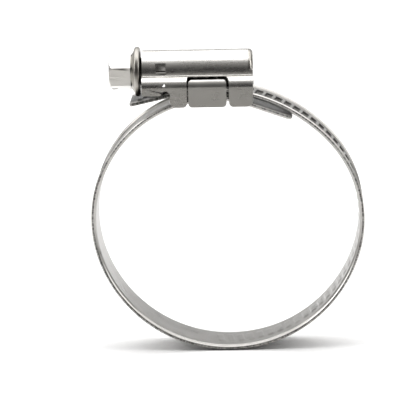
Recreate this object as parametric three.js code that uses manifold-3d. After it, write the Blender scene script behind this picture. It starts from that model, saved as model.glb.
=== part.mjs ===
// Worm-drive hose clamp, a screw-tightened steel band for a hose.
// Units are millimetres. The hose lies along Y, its axis through the origin. +Z is up to the housing,
// and the screw lies along X with its hexagon head at -X.
// Turning the screw clockwise, seen from the head, pulls the threaded end of the band towards the head.

import * as THREE from 'three';
import { mergeVertices } from 'three/addons/utils/BufferGeometryUtils.js';
import Module from 'manifold-3d';

const wasm = await Module();
wasm.setup();

// Band strip.
const bandWidth = 12;
const bandThickness = 0.7;
const edgeFlare = 0.5; // how far the rolled edges stand out from the hose
const edgeFlareWidth = 0.9;

// Saddle, the plate between the fixed end and the threaded end above it.
const saddleSheet = 0.7;
const saddleGap = 0.25; // to the band on each side of it
const saddleLeft = -8.4; // ends of the plate along X, from the seat's crown
const saddleRight = 8.6;
const tabTopGap = 0.55; // between the side tabs and the top of the housing's notch
const tabCorner = 0.9;
const tabLeftGap = 0.3;
const tabRightGap = 0.55;

// Loop of the band.
const loopInnerRadius = 28.65;
const seatFlattening = 3.4; // how far the fixed end lies below the round loop, under the housing
const fixedCrownX = -2.4; // highest place of the fixed end
const seatCrownX = -3.75; // highest place of the threaded end
const seatSoftening = 6.2; // how much larger the threaded end's seat radius is than the loop radius
const seatEndAngle = 42.8; // on the right, where the threaded end meets the loop
const tongueBendStart = 3.2; // along X from the fixed end's crown
const tongueBendRadius = 15;
const tongueSlope = 19.5;
const tongueLength = 10.8; // of the straight tongue
const tailAngle = 12.3; // slope of the straight tail
const tailReach = 16.8; // of the tail's tip, along X from the seat's crown

// Thread.
const threadPitch = 2.2;
const pocketLength = 1.5; // along the band
const pocketWidth = 5.6;
const pocketDepth = 0.45;
const pocketsOnLoop = 43; // from the crown, round the right side
const pocketsOnTail = 6;

// Rigid links that stand for the flexible strip.
const pitchesToFirstHinge = 12; // from the crown to the hinge of the threaded end
const pitchesPerLink = 12;
const linkCount = 5;
const linkGap = 0.12;

// Screw.
const wormRadius = 3.5;
const wormClearance = 0.22; // to the floor of a pocket
const threadHeight = 0.8;
const threadCrest = 0.5;
const threadRoot = 1.1;
const journalStep = 0.5; // from the worm's radius in to the bearing's
const journalLength = 3.4;
const flangeRim = 0.75; // of the flange, beyond the tube
const flangeThickness = 1.3;
const neckLength = 1;
const hexAcrossFlats = 7;
const hexHeight = 4.4;
const hexTurn = 10; // degrees that the nearest flat is turned down from upright, at rest
const hexChamfer = 0.45;
const slotWidth = 1.1;
const slotDepth = 1.7;
const endPinRadius = 2.2;
const endPinLength = 2;
const runningClearance = 0.25;

// Housing.
const sheet = 0.7;
const housingLeft = 14.05; // from the seat's crown to the head end
const housingRight = 9.75; // from the seat's crown to the closed end
const tubeClearance = 0.4; // between the worm and the tube
const sideClearance = 0.25; // between the band's edge and the skirt
const ledgeDrop = 0.4; // of the ledge below the screw's axis
const notchDrop = 0.12; // of the notch's top below the ledge
const shoulderFlat = 0.05; // between the tube and the shoulder's bend
const skirtDepth = 4.3; // of the head end's short skirt, below the screw's axis
const footDepth = 6.9; // of the feet, below the screw's axis
const footCorner = 1;
const leftFootRight = -4.4; // edges along X, from the seat's crown
const leftFootLeft = -7.4;
const leftFootLean = 1.6;
const rightFootLeft = 4.6;
const reliefRadius = 1;
const slitLength = 2;
const slitHeight = 0.3;
const slitRise = 0.45; // of the slit's lower edge, above the screw's axis
const slitPlace = -10;
const pinholeRadius = 0.35;
const pinholePlace = -9.35;
const pinholeDepth = 2.1;
const seatedFlangeGap = 0.5;

// Worked out from the values above.
const degree = Math.PI / 180;
const tubeRadius = wormRadius + tubeClearance + sheet;
const flangeRadius = tubeRadius + flangeRim;
const journalRadius = wormRadius - journalStep;
const loopRadius = loopInnerRadius + bandThickness / 2;
const layerStep = bandThickness + saddleSheet + 2 * saddleGap;
const fixedCrownZ = loopRadius - seatFlattening; // of the middle of the band's thickness, as below
const seatCrownZ = fixedCrownZ + layerStep;
const seatRadius = loopRadius + seatSoftening;
const seatCentre = new THREE.Vector2(seatCrownX, seatCrownZ - seatRadius);
const threadedFaceZ = seatCrownZ + bandThickness / 2;
const screwZ = threadedFaceZ + wormRadius - (pocketDepth - wormClearance);
const skirtInner = bandWidth / 2 + sideClearance;
const skirtOuter = skirtInner + sheet;
const shoulderRadius = skirtOuter - tubeRadius - shoulderFlat;
const ledge = screwZ - ledgeDrop;
const flangeRight = seatCrownX - housingLeft - seatedFlangeGap;
const flangeLeft = flangeRight - flangeThickness;
const hexRight = flangeLeft - neckLength;
const hexEnd = hexRight - hexHeight;
const leadAngle = Math.atan(threadPitch / (2 * Math.PI * (wormRadius - threadHeight / 2)));

const steel = { bright: 0xd2d0cf, band: 0xc9c6c8, screw: 0xc4c2c0 };

function unit(angle) {
  return new THREE.Vector2(Math.cos(angle * degree), Math.sin(angle * degree));
}

function angleOf(vector) {
  return Math.atan2(vector.y, vector.x) / degree;
}

// Angle brought to the first turn at or above a given one.
function angleFrom(angle, lowest) {
  return angle + 360 * Math.ceil((lowest - angle) / 360);
}

// The middle of the band's thickness, followed from the tongue's tip over the crown, down the left side,
// round the bottom, up the right side and over the crown again to the tail.
// Each arc has a centre, a radius and two angles, and each meets the next one smoothly.
function bandPath() {
  // The fixed end and the left flank are one arc, which touches the loop circle from inside.
  const heights = loopRadius * loopRadius - fixedCrownX * fixedCrownX - fixedCrownZ * fixedCrownZ;
  const fixedRadius = heights / (2 * seatFlattening);
  const fixedCentre = new THREE.Vector2(fixedCrownX, fixedCrownZ - fixedRadius);
  const fixedStart = Math.acos(tongueBendStart / fixedRadius) / degree;
  const fixedEnd = angleFrom(angleOf(fixedCentre), fixedStart);
  const bendCentre = fixedCentre
    .clone()
    .addScaledVector(unit(fixedStart), fixedRadius - tongueBendRadius);

  // The right flank leaves the threaded end's seat, and touches the loop circle from inside too.
  const inset = loopRadius - seatRadius;
  const shift =
    (inset * inset - seatCentre.lengthSq()) / (2 * (seatCentre.dot(unit(seatEndAngle)) - inset));
  const flankRadius = seatRadius - shift;
  const flankCentre = seatCentre.clone().addScaledVector(unit(seatEndAngle), shift);
  const flankStart = angleFrom(angleOf(flankCentre), fixedEnd);

  return [
    { centre: bendCentre, radius: tongueBendRadius, from: 90 - tongueSlope, to: fixedStart },
    { centre: fixedCentre, radius: fixedRadius, from: fixedStart, to: fixedEnd },
    { centre: new THREE.Vector2(0, 0), radius: loopRadius, from: fixedEnd, to: flankStart },
    { centre: flankCentre, radius: flankRadius, from: flankStart, to: seatEndAngle + 360 },
    { centre: seatCentre, radius: seatRadius, from: seatEndAngle + 360, to: 450 + tailAngle },
  ];
}

const path = bandPath();

function arcLength(arc) {
  return (arc.to - arc.from) * degree * arc.radius;
}

// The point, the outward direction and the heading of the path at a distance from its first arc.
// The path runs on straight before its first arc, as the tongue does, and beyond its last, as the tail does.
function pathAt(distance) {
  let left = distance;
  let arc = path[0];
  for (const next of path) {
    arc = next;
    if (left <= arcLength(arc) || arc === path[path.length - 1]) break;
    left -= arcLength(arc);
  }
  const onArc = THREE.MathUtils.clamp(left, 0, arcLength(arc));
  const outward = unit(arc.from + onArc / arc.radius / degree);
  const heading = new THREE.Vector2(-outward.y, outward.x);
  const point = arc.centre
    .clone()
    .addScaledVector(outward, arc.radius)
    .addScaledVector(heading, left - onArc);
  return { point, outward, heading };
}

const arcsLength = path.reduce((sum, arc) => sum + arcLength(arc), 0);
const crownDistance = arcsLength - tailAngle * degree * seatRadius;
const tailLength = tailReach / Math.cos(tailAngle * degree) - seatRadius * Math.tan(tailAngle * degree);
const bandEnd = arcsLength + tailLength;

function material(colour, roughness) {
  return new THREE.MeshStandardMaterial({ color: colour, roughness, metalness: 1 });
}

function toSolid(geometry) {
  const bare = geometry.clone();
  bare.deleteAttribute('normal');
  bare.deleteAttribute('uv');
  const merged = mergeVertices(bare, 1e-4);
  return new wasm.Manifold(
    new wasm.Mesh({
      numProp: 3,
      vertProperties: new Float32Array(merged.attributes.position.array),
      triVerts: new Uint32Array(merged.index.array),
    }),
  );
}

function toGeometry(solid) {
  const mesh = solid.getMesh();
  const geometry = new THREE.BufferGeometry();
  geometry.setAttribute('position', new THREE.BufferAttribute(new Float32Array(mesh.vertProperties), 3));
  geometry.setIndex(new THREE.BufferAttribute(new Uint32Array(mesh.triVerts), 1));
  geometry.computeVertexNormals();
  return geometry;
}

// Cross-section of the band: across its width, and outward from the middle of its thickness.
function bandSection() {
  const half = bandWidth / 2;
  const skin = bandThickness / 2;
  const bend = half - edgeFlareWidth;
  return new THREE.Shape([
    new THREE.Vector2(-bend, -skin),
    new THREE.Vector2(bend, -skin),
    new THREE.Vector2(half, edgeFlare - skin),
    new THREE.Vector2(half - bandThickness / 2, edgeFlare + skin),
    new THREE.Vector2(bend - bandThickness / 2, skin),
    new THREE.Vector2(-bend + bandThickness / 2, skin),
    new THREE.Vector2(-half + bandThickness / 2, edgeFlare + skin),
    new THREE.Vector2(-half, edgeFlare - skin),
  ]);
}

function rectangle(halfWidth, low, high) {
  return new THREE.Shape([
    new THREE.Vector2(-halfWidth, low),
    new THREE.Vector2(halfWidth, low),
    new THREE.Vector2(halfWidth, high),
    new THREE.Vector2(-halfWidth, high),
  ]);
}

// A section swept along the band's path between two distances.
function sweep(section, start, end, stepLength = 1.9) {
  const steps = Math.max(1, Math.ceil((end - start) / stepLength));
  const geometry = new THREE.ExtrudeGeometry(section, { depth: end - start, steps, bevelEnabled: false });
  const position = geometry.attributes.position;
  for (let i = 0; i < position.count; i += 1) {
    const at = pathAt(start + position.getZ(i));
    const outward = position.getY(i);
    position.setXYZ(
      i,
      at.point.x + at.outward.x * outward,
      -position.getX(i),
      at.point.y + at.outward.y * outward,
    );
  }
  return geometry;
}

// A shape drawn in the X-Z plane, made as thick as the distance between two Y values.
function slab(shape, nearY, farY, curveSegments = 6) {
  const geometry = new THREE.ExtrudeGeometry(shape, {
    depth: farY - nearY,
    bevelEnabled: false,
    curveSegments,
  });
  geometry.rotateX(Math.PI / 2);
  geometry.translate(0, farY, 0);
  return geometry;
}

// A shape drawn in the Y-Z plane, made as long as the distance between two X values.
function prism(shape, fromX, toX, curveSegments = 6) {
  const geometry = new THREE.ExtrudeGeometry(shape, {
    depth: toX - fromX,
    bevelEnabled: false,
    curveSegments,
  });
  geometry.rotateX(Math.PI / 2);
  geometry.rotateZ(Math.PI / 2);
  geometry.translate(fromX, 0, 0);
  return geometry;
}

// A polygon with each corner rounded by its own radius.
function roundedShape(corners) {
  const shape = new THREE.Shape();
  corners.forEach(([x, y, radius], index) => {
    const here = new THREE.Vector2(x, y);
    const before = corners[(index + corners.length - 1) % corners.length];
    const after = corners[(index + 1) % corners.length];
    const toBefore = new THREE.Vector2(before[0], before[1]).sub(here).normalize();
    const toAfter = new THREE.Vector2(after[0], after[1]).sub(here).normalize();
    const reach = radius / Math.tan(Math.acos(toBefore.dot(toAfter)) / 2);
    const start = here.clone().addScaledVector(toBefore, reach);
    if (index === 0) shape.moveTo(start.x, start.y);
    else shape.lineTo(start.x, start.y);
    if (radius > 0) {
      const end = here.clone().addScaledVector(toAfter, reach);
      shape.quadraticCurveTo(here.x, here.y, end.x, end.y);
    }
  });
  shape.closePath();
  return shape;
}

function pocketCutter(pitchesFromCrown) {
  const at = pathAt(crownDistance + pitchesFromCrown * threadPitch);
  const box = new THREE.BoxGeometry(pocketLength, pocketWidth, 2 * pocketDepth);
  // The long side leans by the screw's lead angle, as the thread does where it meets the band.
  box.rotateZ(-leadAngle);
  const turn = new THREE.Matrix4().makeBasis(
    new THREE.Vector3(-at.heading.x, 0, -at.heading.y),
    new THREE.Vector3(0, 1, 0),
    new THREE.Vector3(at.outward.x, 0, at.outward.y),
  );
  box.applyMatrix4(turn);
  const face = at.point.clone().addScaledVector(at.outward, bandThickness / 2);
  box.translate(face.x, 0, face.y);
  return toSolid(box);
}

// Pitches from the crown of the pockets between two distances along the path.
function pocketsBetween(start, end) {
  const found = [];
  for (let pitches = -pocketsOnLoop; pitches <= pocketsOnTail; pitches += 1) {
    const middle = crownDistance + pitches * threadPitch;
    if (middle > start && middle < end) found.push(pitches);
  }
  return found;
}

function bandPiece(start, end) {
  const strip = toSolid(sweep(bandSection(), start, end));
  return pocketsBetween(start, end).reduce((solid, pitches) => solid.subtract(pocketCutter(pitches)), strip);
}

function hingeDistance(index) {
  const threadedHinge = crownDistance - (pitchesToFirstHinge + 0.5) * threadPitch;
  return threadedHinge - (linkCount - index) * pitchesPerLink * threadPitch;
}

function makeHousing() {
  const left = seatCrownX - housingLeft;
  const right = seatCrownX + housingRight;
  const inner = tubeRadius - sheet;
  const foot = screwZ - footDepth;
  // Half-sections of the sheet, from the foot up over the tube.
  const section = new THREE.Shape();
  const meet = -Math.asin(ledgeDrop / tubeRadius);
  const innerMeet = -Math.asin((ledgeDrop + sheet) / inner);
  const shoulderY = skirtOuter - shoulderRadius;
  const shoulderZ = ledge - shoulderRadius;
  section.moveTo(skirtOuter, foot);
  section.absarc(shoulderY, shoulderZ, shoulderRadius, 0, Math.PI / 2, false);
  section.absarc(0, screwZ, tubeRadius, meet, Math.PI - meet, false);
  section.absarc(-shoulderY, shoulderZ, shoulderRadius, Math.PI / 2, Math.PI, false);
  section.lineTo(-skirtOuter, foot);
  section.lineTo(-skirtInner, foot);
  section.absarc(-shoulderY, shoulderZ, shoulderRadius - sheet, Math.PI, Math.PI / 2, true);
  section.absarc(0, screwZ, inner, Math.PI - innerMeet, innerMeet, true);
  section.absarc(shoulderY, shoulderZ, shoulderRadius - sheet, Math.PI / 2, 0, true);
  section.lineTo(skirtInner, foot);
  section.closePath();
  const channel = toSolid(prism(section, left, right, 10));

  // Side outline that the sheet was blanked to.
  const skirt = screwZ - skirtDepth;
  const notchTop = ledge - notchDrop;
  const blank = roundedShape([
    [left, screwZ + tubeRadius + 1, 0],
    [left, skirt, 0.4],
    [seatCrownX + leftFootLeft - leftFootLean, skirt, 0],
    [seatCrownX + leftFootLeft, foot, footCorner],
    [seatCrownX + leftFootRight, foot, footCorner],
    [seatCrownX + leftFootRight, notchTop, 0.3],
    [seatCrownX + rightFootLeft, notchTop, 0.3],
    [seatCrownX + rightFootLeft, foot, footCorner],
    [right, foot, footCorner],
    [right, screwZ + tubeRadius + 1, 0],
  ]);
  let solid = channel.intersect(toSolid(slab(blank, -skirtOuter - 1, skirtOuter + 1)));

  // Arched relief between the short skirt and the left foot.
  const relief = new THREE.Shape();
  const reliefX = seatCrownX + leftFootLeft - leftFootLean;
  relief.moveTo(reliefX + reliefRadius, skirt - 1);
  relief.lineTo(reliefX + reliefRadius, skirt);
  relief.absarc(reliefX, skirt, reliefRadius, 0, Math.PI, false);
  relief.lineTo(reliefX - reliefRadius, skirt - 1);
  relief.closePath();
  // Slit through the side of the tube, and a small hole in the skirt below it.
  const slitLow = screwZ + slitRise;
  const slitX = seatCrownX + slitPlace;
  const slit = roundedShape([
    [slitX - slitLength / 2, slitLow, 0],
    [slitX + slitLength / 2, slitLow, 0],
    [slitX + slitLength / 2, slitLow + slitHeight, 0],
    [slitX - slitLength / 2, slitLow + slitHeight, 0],
  ]);
  const pinhole = new THREE.Shape();
  pinhole.absarc(seatCrownX + pinholePlace, screwZ - pinholeDepth, pinholeRadius, 0, 2 * Math.PI, false);
  for (const shape of [relief, slit, pinhole]) {
    solid = solid.subtract(toSolid(slab(shape, -skirtOuter - 1, skirtOuter + 1, 4)));
  }

  // The closed end, with the bearing hole for the screw's end pin.
  const wall = new THREE.Shape();
  const wallLow = Math.asin((threadedFaceZ + edgeFlare + 0.2 - screwZ) / (inner + sheet / 2));
  wall.absarc(0, screwZ, inner + sheet / 2, wallLow, Math.PI - wallLow, false);
  wall.closePath();
  const hole = new THREE.Path();
  hole.absarc(0, screwZ, endPinRadius + runningClearance, 0, 2 * Math.PI, true);
  wall.holes.push(hole);
  return solid.add(toSolid(prism(wall, right - sheet, right, 12)));
}

function makeSaddle() {
  // The plate follows the underside of the threaded end, between the rolled edges of the fixed end.
  const high = -bandThickness / 2 - saddleGap;
  const low = high - saddleSheet;
  const bend = bandWidth / 2 - edgeFlareWidth;
  const plate = rectangle(bend - bandThickness / 2, low, high);
  const seatDistance = (reach) => crownDistance - Math.asin(reach / seatRadius) * seatRadius;
  let solid = toSolid(sweep(plate, seatDistance(saddleRight), seatDistance(saddleLeft)));

  // Its wings pass between the rolled edges and turn up and down outside them as two side tabs.
  const tabLeft = seatCrownX + leftFootRight + tabLeftGap;
  const tabRight = seatCrownX + rightFootLeft - tabRightGap;
  const rightHalf = [
    [bend - bandThickness / 2, low],
    [bandWidth / 2 - bandThickness / 2, low + edgeFlare],
    [skirtOuter - saddleSheet / 2, low + edgeFlare],
    [skirtOuter - saddleSheet / 2, high + edgeFlare],
    [bandWidth / 2, high + edgeFlare],
    [bend, high],
  ];
  const leftHalf = rightHalf.map(([y, z]) => [-y, z]).reverse();
  const wing = new THREE.Shape([...rightHalf, ...leftHalf].map(([y, z]) => new THREE.Vector2(y, z)));
  const wingStart = seatDistance(tabRight - seatCrownX - tabCorner);
  const wingEnd = seatDistance(tabLeft - seatCrownX + tabCorner);
  solid = solid.add(toSolid(sweep(wing, wingStart, wingEnd)));
  const tabTop = ledge - notchDrop - tabTopGap;
  const tab = roundedShape([
    [tabLeft, screwZ - footDepth, tabCorner],
    [tabRight, screwZ - footDepth, tabCorner],
    [tabRight, tabTop, tabCorner],
    [tabLeft, tabTop, tabCorner],
  ]);
  // The tabs lie flush with the housing's skirt and lean in with its shoulder.
  const leaning = new THREE.Shape();
  const shoulderY = skirtOuter - shoulderRadius;
  const shoulderZ = ledge - shoulderRadius;
  leaning.moveTo(skirtOuter, screwZ - footDepth - 1);
  leaning.absarc(shoulderY, shoulderZ, shoulderRadius, 0, Math.PI / 2, false);
  leaning.absarc(shoulderY, shoulderZ, shoulderRadius - saddleSheet, Math.PI / 2, 0, true);
  leaning.lineTo(skirtOuter - saddleSheet, screwZ - footDepth - 1);
  leaning.closePath();
  const side = toSolid(prism(leaning, tabLeft, tabRight, 8)).intersect(toSolid(slab(tab, 0, skirtOuter + 1)));
  return solid.add(side).add(side.mirror([0, 1, 0]));
}

function makeScrew() {
  const pinEnd = seatCrownX + housingRight - 0.3;
  const wormEnd = pinEnd - endPinLength;
  const wormStart = flangeRight + journalLength;
  const core = wormRadius - threadHeight;
  const rim = flangeThickness * 0.35;
  const hexCorner = hexAcrossFlats / 2 / Math.cos(30 * degree);

  // Turned outline from the flange to the end pin, spun round the axis.
  const outline = [
    [0, hexRight - 0.5],
    [hexAcrossFlats / 2 - 0.6, hexRight - 0.5],
    [hexAcrossFlats / 2 - 0.3, hexRight],
    [flangeRadius - 0.9, flangeLeft],
    [flangeRadius - rim, flangeLeft],
    [flangeRadius, flangeLeft + rim],
    [flangeRadius, flangeRight - rim],
    [flangeRadius - rim, flangeRight],
    [journalRadius, flangeRight],
    [journalRadius, wormStart - 0.3],
    [core, wormStart],
    [core, wormEnd],
    [endPinRadius, wormEnd + 0.3],
    [endPinRadius, pinEnd - 0.3],
    [endPinRadius - 0.3, pinEnd],
    [0, pinEnd],
  ].map(([radius, x]) => new THREE.Vector2(radius, x));
  const turned = new THREE.LatheGeometry(outline, 32);
  turned.rotateZ(-Math.PI / 2);

  // Hexagon with its outer corners chamfered.
  const hexagon = new THREE.CylinderGeometry(hexCorner, hexCorner, hexHeight, 6);
  hexagon.rotateZ(-Math.PI / 2);
  hexagon.rotateX(hexTurn * degree);
  hexagon.translate(hexRight - hexHeight / 2, 0, 0);
  const chamfer = new THREE.LatheGeometry(
    [
      [0, hexEnd - 0.1],
      [hexCorner - hexChamfer * 2.4, hexEnd - 0.1],
      [hexCorner + 0.2, hexEnd + hexChamfer + 0.3],
      [hexCorner + 0.2, hexRight + 0.1],
      [0, hexRight + 0.1],
    ].map(([radius, x]) => new THREE.Vector2(radius, x)),
    36,
  );
  chamfer.rotateZ(-Math.PI / 2);
  const slot = new THREE.BoxGeometry(slotDepth * 2, slotWidth, 2 * flangeRadius);
  slot.translate(hexEnd, 0, 0);
  const head = toSolid(hexagon).intersect(toSolid(chamfer)).subtract(toSolid(slot));

  const screw = toSolid(turned).add(head).add(toSolid(wormThread(wormStart + 0.9, wormEnd - 0.9)));
  return screw.translate([0, 0, screwZ]);
}

// One right-hand thread, as a ridge swept round the X axis. It meets the middle of a pocket at the crown.
function wormThread(fromX, toX) {
  const segmentsPerTurn = 16;
  const core = wormRadius - threadHeight - 0.15;
  const section = new THREE.Shape([
    new THREE.Vector2(-threadRoot / 2, core),
    new THREE.Vector2(threadRoot / 2, core),
    new THREE.Vector2(threadCrest / 2, wormRadius),
    new THREE.Vector2(-threadCrest / 2, wormRadius),
  ]);
  const steps = Math.round(((toX - fromX) / threadPitch) * segmentsPerTurn);
  const ridge = new THREE.ExtrudeGeometry(section, { depth: toX - fromX, steps, bevelEnabled: false });
  const position = ridge.attributes.position;
  for (let i = 0; i < position.count; i += 1) {
    const along = fromX + position.getZ(i);
    // The ridge points straight down where it passes the crown.
    const turn = ((along - seatCrownX) / threadPitch) * 2 * Math.PI - Math.PI / 2;
    const radius = position.getY(i);
    position.setXYZ(
      i,
      along + position.getX(i),
      radius * Math.cos(turn),
      radius * Math.sin(turn),
    );
  }
  return ridge;
}

function named(name, solid, colour, roughness) {
  const mesh = new THREE.Mesh(toGeometry(solid), material(colour, roughness));
  mesh.name = name;
  return mesh;
}

const clamp = new THREE.Group();
clamp.add(named('housing', makeHousing(), steel.bright, 0.28));
clamp.add(named('saddle', makeSaddle(), steel.bright, 0.3));
clamp.add(named('worm_screw', makeScrew(), steel.screw, 0.3));
clamp.add(named('band_fixed_end', bandPiece(-tongueLength, hingeDistance(0) - linkGap / 2), steel.band, 0.3));
for (let i = 0; i < linkCount; i += 1) {
  const start = hingeDistance(i) + linkGap / 2;
  const end = hingeDistance(i + 1) - linkGap / 2;
  const name = `band_link_${String(i + 1).padStart(2, '0')}`;
  clamp.add(named(name, bandPiece(start, end), steel.band, 0.3));
}
clamp.add(
  named('band_threaded_end', bandPiece(hingeDistance(linkCount) + linkGap / 2, bandEnd), steel.band, 0.3),
);

// Hinge lines of the band, the circle that the threaded end travels on and the screw's place, for the joints.
clamp.userData.hinges = Array.from({ length: linkCount + 1 }, (_, i) => pathAt(hingeDistance(i)).point);
clamp.userData.seat = { centre: seatCentre, radius: seatRadius };
clamp.userData.screwZ = screwZ;
clamp.userData.hexEnd = hexEnd;
clamp.userData.hexX = hexEnd + hexHeight / 2;

export default clamp;
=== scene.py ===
import math

import bmesh
import bpy
from mathutils import Matrix, Vector


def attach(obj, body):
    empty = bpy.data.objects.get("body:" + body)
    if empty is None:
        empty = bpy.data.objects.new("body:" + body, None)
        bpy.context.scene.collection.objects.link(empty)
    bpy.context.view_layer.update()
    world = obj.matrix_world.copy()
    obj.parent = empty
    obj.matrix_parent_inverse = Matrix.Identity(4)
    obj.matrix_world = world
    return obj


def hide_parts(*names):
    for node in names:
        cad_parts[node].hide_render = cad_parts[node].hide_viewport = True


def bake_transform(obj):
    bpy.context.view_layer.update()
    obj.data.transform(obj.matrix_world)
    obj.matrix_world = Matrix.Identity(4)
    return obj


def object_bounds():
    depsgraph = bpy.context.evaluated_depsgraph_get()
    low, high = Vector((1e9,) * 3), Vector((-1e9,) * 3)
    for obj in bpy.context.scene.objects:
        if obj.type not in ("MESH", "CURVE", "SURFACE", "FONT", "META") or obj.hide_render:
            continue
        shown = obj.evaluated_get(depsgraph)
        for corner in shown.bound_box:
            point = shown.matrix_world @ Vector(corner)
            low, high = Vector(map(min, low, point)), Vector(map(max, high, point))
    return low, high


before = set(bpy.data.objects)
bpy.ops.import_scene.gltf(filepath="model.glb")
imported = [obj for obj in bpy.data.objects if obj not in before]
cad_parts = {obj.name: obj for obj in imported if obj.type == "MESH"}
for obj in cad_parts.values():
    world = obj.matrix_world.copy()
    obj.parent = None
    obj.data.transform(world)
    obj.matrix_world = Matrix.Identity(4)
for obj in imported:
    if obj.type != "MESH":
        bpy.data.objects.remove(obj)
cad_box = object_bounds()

# A worm-drive hose clamp in bright steel, standing on its loop. Lengths are in millimetres until a mesh is
# made, and metres from there. X runs along the screw, Y along the hose, Z up from the hose to the housing.

MM = 0.001

# Band strip.
BAND_WIDTH = 12.0
BAND_THICKNESS = 0.7
FLARE_START = 4.9       # from the middle of the width to where the edge starts to roll outward
FLARE_RADIUS = 0.8
FLARE_ANGLE = 50.0
FLARE_STRAIGHT = 0.3
# Loop.
LOOP_INNER_RADIUS = 28.65
SEAT_FLATTENING = 3.4
FIXED_CROWN_X = -2.4
SEAT_CROWN_X = -3.75
SEAT_SOFTENING = 6.2
SEAT_END_ANGLE = 42.8
TONGUE_BEND_START = 3.2
TONGUE_BEND_RADIUS = 15.0
TONGUE_SLOPE = 19.5
TONGUE_LENGTH = 10.8
TAIL_ANGLE = 12.3
TAIL_REACH = 16.8
# Thread marks pressed into the band.
PITCH = 2.2
POCKET_LENGTH = 1.56
POCKET_WIDTH = 5.6
POCKET_DEPTH = 0.45
POCKET_WALL = 0.2
POCKET_CORNER = 0.45
POCKETS_ON_LOOP = 43
POCKETS_ON_TAIL = 6
PITCHES_TO_FIRST_HINGE = 12
PITCHES_PER_LINK = 12
LINK_COUNT = 5
BLEND_REACH = 9.5       # along the band, on either side of a hinge
# Saddle.
SADDLE_SHEET = 0.7
SADDLE_GAP = 0.25
SADDLE_LEFT = -8.4
SADDLE_RIGHT = 8.6
TAB_LEFT = -7.85
TAB_RIGHT = 0.3
TAB_TOP = 30.05
# Screw.
SCREW_Z = 31.12
WORM_RADIUS = 3.5
THREAD_HEIGHT = 0.8
FLANGE_RADIUS = 5.35
FLANGE_LEFT = -19.6
FLANGE_RIGHT = -18.3
HEX_LEFT = -25.0
HEX_RIGHT = -20.6
HEX_FLATS = 7.0
HEX_TURN = 10.0
SLOT_WIDTH = 1.1
SLOT_DEPTH = 1.7
JOURNAL_RADIUS = 3.0
PIN_RADIUS = 2.2
PIN_END = 5.7
# Housing.
SHEET = 0.7
HOUSING_LEFT = -17.8
HOUSING_RIGHT = 6.0
TUBE_RADIUS = 4.6
SKIRT_OUTER = 6.95
SKIRT_INNER = 6.25
LEDGE_Z = 30.72
SHOULDER_RADIUS = 2.3
SKIRT_LOW = 26.82
FOOT_LOW = 24.22
NOTCH_TOP = LEDGE_Z - 0.12
SLIT_LEFT = -14.75
SLIT_RIGHT = -12.75
SLIT_LOW = SCREW_Z + 0.45
SLIT_HIGH = SCREW_Z + 0.75
RELIEF_X = -12.75
RELIEF_RADIUS = 1.0
# Sizes of the surface patterns. The grain is drawn coarser than real rolling lines, so that it shows.
HAZE_SIZE = 3.846
SPECK_SIZE = 0.3846
FIBRE_SIZE = 1.111

LOOP_RADIUS = LOOP_INNER_RADIUS + BAND_THICKNESS / 2
LAYER_STEP = BAND_THICKNESS + SADDLE_SHEET + 2 * SADDLE_GAP
FIXED_CROWN_Z = LOOP_RADIUS - SEAT_FLATTENING
SEAT_CROWN_Z = FIXED_CROWN_Z + LAYER_STEP
SEAT_RADIUS = LOOP_RADIUS + SEAT_SOFTENING
SEAT_CENTRE = Vector((SEAT_CROWN_X, SEAT_CROWN_Z - SEAT_RADIUS))
LEAD = PITCH / (2 * math.pi * (WORM_RADIUS - THREAD_HEIGHT / 2))


# ---------------------------------------------------------------- camera and light

def place_camera():
    """Looks at the clamp from a little above the floor, with a long lens, as it is usually shown."""
    azimuth, elevation, roll = math.radians(1.9), math.radians(12.2), math.radians(-1.3)
    target = Vector((-4.4, 0, 0.74)) * MM
    away = Vector((math.sin(azimuth) * math.cos(elevation), -math.cos(azimuth) * math.cos(elevation),
                   math.sin(elevation)))
    place = target + away * 0.56
    right = (-away).cross(Vector((0, 0, 1))).normalized()
    up = right.cross(-away)
    turned_right = right * math.cos(roll) + up * math.sin(roll)
    turned_up = up * math.cos(roll) - right * math.sin(roll)
    camera = bpy.data.objects.new("camera", bpy.data.cameras.new("camera"))
    camera.data.sensor_width = 36
    camera.data.lens = 222.2
    camera.data.clip_start = 0.01
    axes = Matrix((turned_right, turned_up, away)).transposed().to_4x4()
    camera.matrix_world = Matrix.Translation(place) @ axes
    bpy.context.scene.collection.objects.link(camera)
    bpy.context.scene.camera = camera


def add_light(name, place, aim, size, power):
    light = bpy.data.objects.new(name, bpy.data.lights.new(name, "AREA"))
    light.data.shape = "RECTANGLE"
    light.data.size, light.data.size_y = size
    light.data.energy = power
    light.location = place
    light.rotation_euler = (Vector(aim) - Vector(place)).to_track_quat("-Z", "Y").to_euler()
    bpy.context.scene.collection.objects.link(light)


def linear(hex_colour):
    """A hex colour as the linear RGBA that a shader wants."""
    parts = [int(hex_colour[i:i + 2], 16) / 255 for i in (0, 2, 4)]
    return tuple(c / 12.92 if c <= 0.04045 else ((c + 0.055) / 1.055) ** 2.4 for c in parts) + (1.0,)


# ---------------------------------------------------------------- materials

def node(tree, kind, inputs=None, **settings):
    """Adds a shader node with its settings, and sets or links its inputs."""
    new = tree.nodes.new(kind)
    for name, value in settings.items():
        setattr(new, name, value)
    for socket, value in (inputs or {}).items():
        if isinstance(value, bpy.types.NodeSocket):
            tree.links.new(value, new.inputs[socket])
        else:
            new.inputs[socket].default_value = value
    return new


def ramp(tree, factor, stops):
    """A colour ramp from a list of (place, hex colour)."""
    new = node(tree, "ShaderNodeValToRGB", {"Fac": factor})
    while len(new.color_ramp.elements) < len(stops):
        new.color_ramp.elements.new(0.5)
    for element, (place, colour) in zip(new.color_ramp.elements, stops):
        element.position = place
        element.color = linear(colour)
    return new.outputs["Color"]


def repeats(size):
    """How many times a pattern of a size in millimetres fits in a metre."""
    return 1 / (size * MM)


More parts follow.
